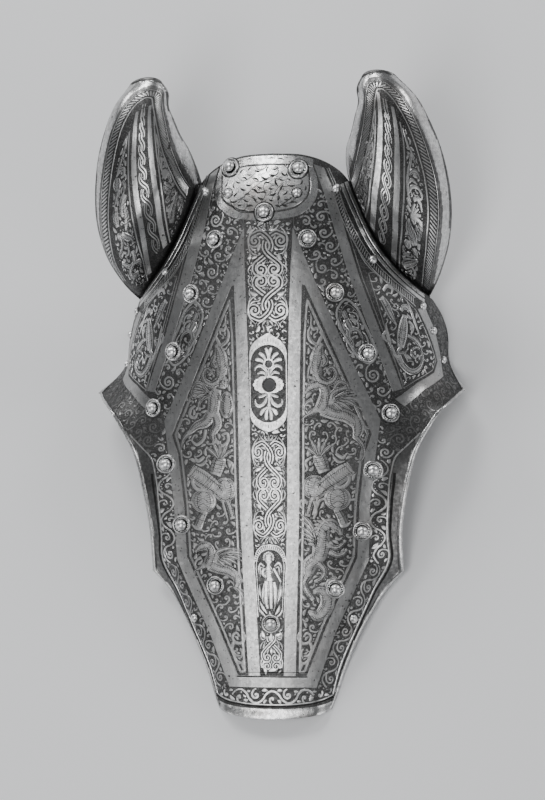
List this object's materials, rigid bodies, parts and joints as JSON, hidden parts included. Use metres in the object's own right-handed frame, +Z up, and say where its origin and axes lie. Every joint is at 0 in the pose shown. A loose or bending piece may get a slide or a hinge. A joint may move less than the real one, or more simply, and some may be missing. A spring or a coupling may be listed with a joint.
{
  "type": "horse head armour (half shaffron)",
  "caption": "Etched steel half shaffron: one arched face plate with flared eye flanges, two leaf-shaped ear guards, domed rivets on rosette washers.",
  "frame": {"origin": "on the surface the armour lies on, under the middle of its overall box", "axes": "+Z up, away from the surface; +Y from the nose end to the poll and ears; +X to the viewer's right"},
  "size_m": [0.302, 0.4962, 0.1424],
  "materials": {
    "plate_steel": "bright bands on blackened, etched ground",
    "ear_steel": "bright bands on blackened, etched ground",
    "rosette_steel": "punched, darkened in the hollows",
    "rivet_steel": "polished by wear"
  },
  "bodies": {
    "root": {"ear_guard_left": "ear_steel", "ear_guard_right": "ear_steel", "lining_rivet_brow_left": "rivet_steel", "lining_rivet_brow_right": "rivet_steel", "lining_rivet_cheek_left": "rivet_steel", "lining_rivet_cheek_right": "rivet_steel", "lining_rivet_crown": "rivet_steel", "lining_rivet_eye_left": "rivet_steel", "lining_rivet_eye_right": "rivet_steel", "lining_rivet_face_left": "rivet_steel", "lining_rivet_face_right": "rivet_steel", "lining_rivet_forehead_left": "rivet_steel", "lining_rivet_forehead_right": "rivet_steel", "lining_rivet_muzzle_left": "rivet_steel", "lining_rivet_muzzle_right": "rivet_steel", "lining_rivet_nose": "rivet_steel", "lining_rivet_poll_left": "rivet_steel", "lining_rivet_poll_right": "rivet_steel", "lining_rivet_temple_left": "rivet_steel", "lining_rivet_temple_right": "rivet_steel", "rosette_brow_left": "rosette_steel", "rosette_brow_right": "rosette_steel", "rosette_cheek_left": "rosette_steel", "rosette_cheek_right": "rosette_steel", "rosette_crown": "rosette_steel", "rosette_eye_left": "rosette_steel", "rosette_eye_right": "rosette_steel", "rosette_face_left": "rosette_steel", "rosette_face_right": "rosette_steel", "rosette_forehead_left": "rosette_steel", "rosette_forehead_right": "rosette_steel", "rosette_muzzle_left": "rosette_steel", "rosette_muzzle_right": "rosette_steel", "rosette_nose": "rosette_steel", "rosette_poll_left": "rosette_steel", "rosette_poll_right": "rosette_steel", "rosette_temple_left": "rosette_steel", "rosette_temple_right": "rosette_steel", "shaffron_plate": "plate_steel", "small_rivet_ear_lower_left": "rivet_steel", "small_rivet_ear_lower_right": "rivet_steel", "small_rivet_ear_upper_left": "rivet_steel", "small_rivet_ear_upper_right": "rivet_steel", "small_rivet_muzzle_left": "rivet_steel", "small_rivet_muzzle_right": "rivet_steel", "small_rivet_poll_left": "rivet_steel", "small_rivet_poll_right": "rivet_steel", "small_rivet_temple_lower_left": "rivet_steel", "small_rivet_temple_lower_right": "rivet_steel", "small_rivet_temple_middle_left": "rivet_steel", "small_rivet_temple_middle_right": "rivet_steel", "small_rivet_temple_upper_left": "rivet_steel", "small_rivet_temple_upper_right": "rivet_steel"}
  },
  "joints": []
}
